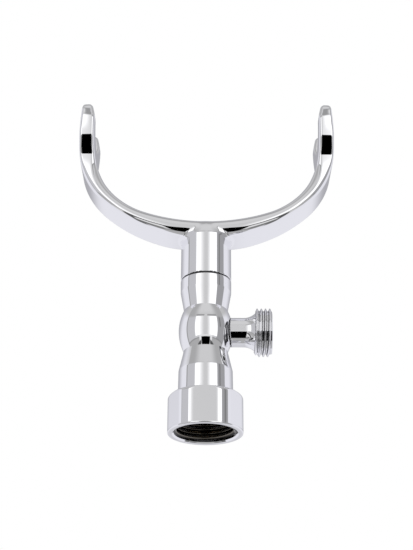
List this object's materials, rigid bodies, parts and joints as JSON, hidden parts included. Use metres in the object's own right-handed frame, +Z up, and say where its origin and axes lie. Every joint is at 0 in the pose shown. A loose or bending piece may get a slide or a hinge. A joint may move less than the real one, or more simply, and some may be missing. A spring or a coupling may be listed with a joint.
{
  "type": "bath mixer hand-shower cradle",
  "caption": "Chrome telephone-style hand-shower cradle for a bath mixer: forked U plate swivelling on a turned column with threaded hose outlet, check valve and loose union nut.",
  "frame": {"origin": "on the swivel axis, in the plane of the union nut's open mouth, the lowest point", "axes": "+Z up along the swivel axis, +X along the hose outlet, -Y towards the bather"},
  "size_m": [0.1158, 0.035, 0.1536],
  "materials": {
    "chrome": "polished",
    "brass": "machined",
    "acetal": "satin",
    "cage_plastic": "satin",
    "rubber": "matte",
    "stainless": "satin"
  },
  "bodies": {
    "body": {"swivel_body": "chrome", "hose_outlet": "chrome", "tail_bush": "brass", "tail_o_ring": "rubber", "union_washer": "rubber", "outlet_o_ring": "rubber", "spigot_o_ring_lower": "rubber", "spigot_o_ring_upper": "rubber", "check_valve_cage": "cage_plastic", "check_valve_o_ring": "rubber", "check_valve_seat": "cage_plastic", "check_valve_spring": "stainless"},
    "cradle": {"cradle": "chrome", "cradle_grub_screw": "stainless", "swivel_bush": "acetal"},
    "union_nut": {"union_nut": "chrome"},
    "check_poppet": {"check_valve_poppet": "cage_plastic", "poppet_seal": "rubber"}
  },
  "joints": [
    {"name": "cradle_swivel", "type": "hinge", "parent": "body", "child": "cradle", "pos_m": [0, 0, 0.08], "axis": [0, 0, 1], "continuous": true},
    {"name": "union_nut_spin", "type": "hinge", "parent": "body", "child": "union_nut", "pos_m": [0, 0, 0.008], "axis": [0, 0, 1], "continuous": true},
    {"name": "check_valve_lift", "type": "slide", "parent": "body", "child": "check_poppet", "axis": [1, 0, 0], "range_m": [0, 0.0025], "stiffness_N_per_m": 60, "springref_m": -0.0015, "deforming": ["check_valve_spring"]}
  ]
}
